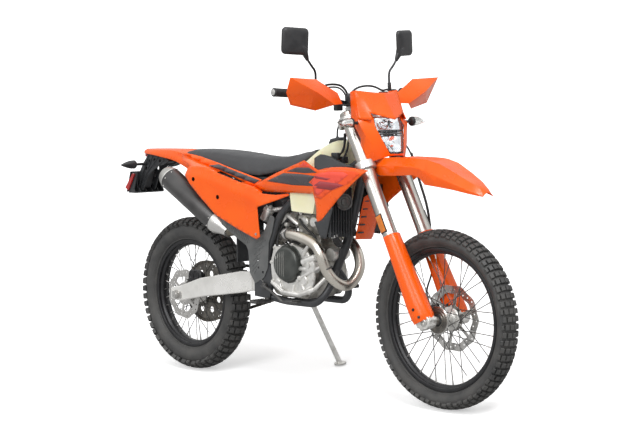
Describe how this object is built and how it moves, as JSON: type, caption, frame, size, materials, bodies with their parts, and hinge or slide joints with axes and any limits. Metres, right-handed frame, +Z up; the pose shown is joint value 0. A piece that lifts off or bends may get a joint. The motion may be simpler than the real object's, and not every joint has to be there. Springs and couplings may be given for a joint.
{
  "type": "enduro motorcycle",
  "caption": "Off-road motorcycle with knobbly wire-spoked wheels, long-travel fork, high silencer and bright plastics, leaning on its side stand.",
  "frame": {"origin": "middle of the parked machine's footprint box, on the floor", "axes": "+X the way the machine travels, +Y to the rider's left, +Z up; the machine leans ten degrees to +Y on its side stand"},
  "size_m": [2.2389, 0.8224, 1.495],
  "materials": {
    "orange_plastic": "glossy moulded plastic",
    "dark_plastic": "matt moulded plastic",
    "cream_plastic": "translucent moulded tank",
    "seat_cover": "grippy fabric-backed vinyl",
    "frame_paint": "satin paint",
    "engine_alloy": "cast, satin",
    "bare_alloy": "cast and brushed",
    "fork_alloy": "satin anodised",
    "steel": "brushed",
    "pipe_steel": "brushed, heat tinted",
    "silencer_alloy": "dark anodised",
    "black_metal": "satin black",
    "rubber": "matt",
    "tyre": "matt, block tread",
    "mirror_glass": "moulded housing with a glass face",
    "clear_lens": "clear moulded lens",
    "chain_steel": "oiled steel"
  },
  "bodies": {
    "chassis": {"main_frame": "frame_paint", "subframe": "dark_plastic", "engine": "engine_alloy", "exhaust_header": "pipe_steel", "silencer": "silencer_alloy", "radiators": "bare_alloy", "fuel_tank": "cream_plastic", "seat": "seat_cover", "shroud_left": "orange_plastic", "shroud_right": "orange_plastic", "side_panel_left": "orange_plastic", "side_panel_right": "orange_plastic", "rear_fender": "orange_plastic", "tail_bracket": "dark_plastic", "rear_indicators": "dark_plastic", "swingarm": "bare_alloy", "rear_shock": "steel", "rear_axle": "steel", "drive_chain": "chain_steel", "rear_caliper": "black_metal", "footpegs": "steel", "foot_controls": "bare_alloy"},
    "steering": {"fork_clamps": "bare_alloy", "fork_legs": "fork_alloy", "fork_guards": "orange_plastic", "front_axle": "steel", "front_fender": "orange_plastic", "headlight_mask": "orange_plastic", "headlight_lens": "clear_lens", "handlebar": "bare_alloy", "grips": "rubber", "hand_guards": "orange_plastic", "mirrors": "mirror_glass", "front_indicators": "dark_plastic", "front_caliper": "black_metal", "front_brake_hose": "rubber", "bar_controls": "black_metal"},
    "front_wheel": {"front_tyre": "tyre", "front_rim": "black_metal", "front_hub": "bare_alloy", "front_disc": "steel"},
    "rear_wheel": {"rear_tyre": "tyre", "rear_rim": "black_metal", "rear_hub": "bare_alloy", "rear_disc": "steel", "rear_sprocket": "steel"},
    "stand": {"side_stand": "bare_alloy"}
  },
  "joints": [
    {"name": "steering", "type": "hinge", "parent": "chassis", "child": "steering", "pos_m": [0.39291, -0.04213, 0.98523], "axis": [-0.4464, 0.1554, 0.8813], "range_deg": [-40, 40]},
    {"name": "front_wheel_spin", "type": "hinge", "parent": "steering", "child": "front_wheel", "pos_m": [0.77554, -0.15589, 0.3401], "axis": [0, 0.9848, -0.1736], "continuous": true},
    {"name": "rear_wheel_spin", "type": "hinge", "parent": "chassis", "child": "rear_wheel", "pos_m": [-0.71146, -0.15728, 0.33196], "axis": [0, 0.9848, -0.1736], "continuous": true},
    {"name": "side_stand", "type": "hinge", "parent": "chassis", "child": "stand", "pos_m": [-0.15946, -0.0025, 0.35757], "axis": [-0.1253, 0.9897, -0.0699], "range_deg": [0, 111.2]}
  ]
}
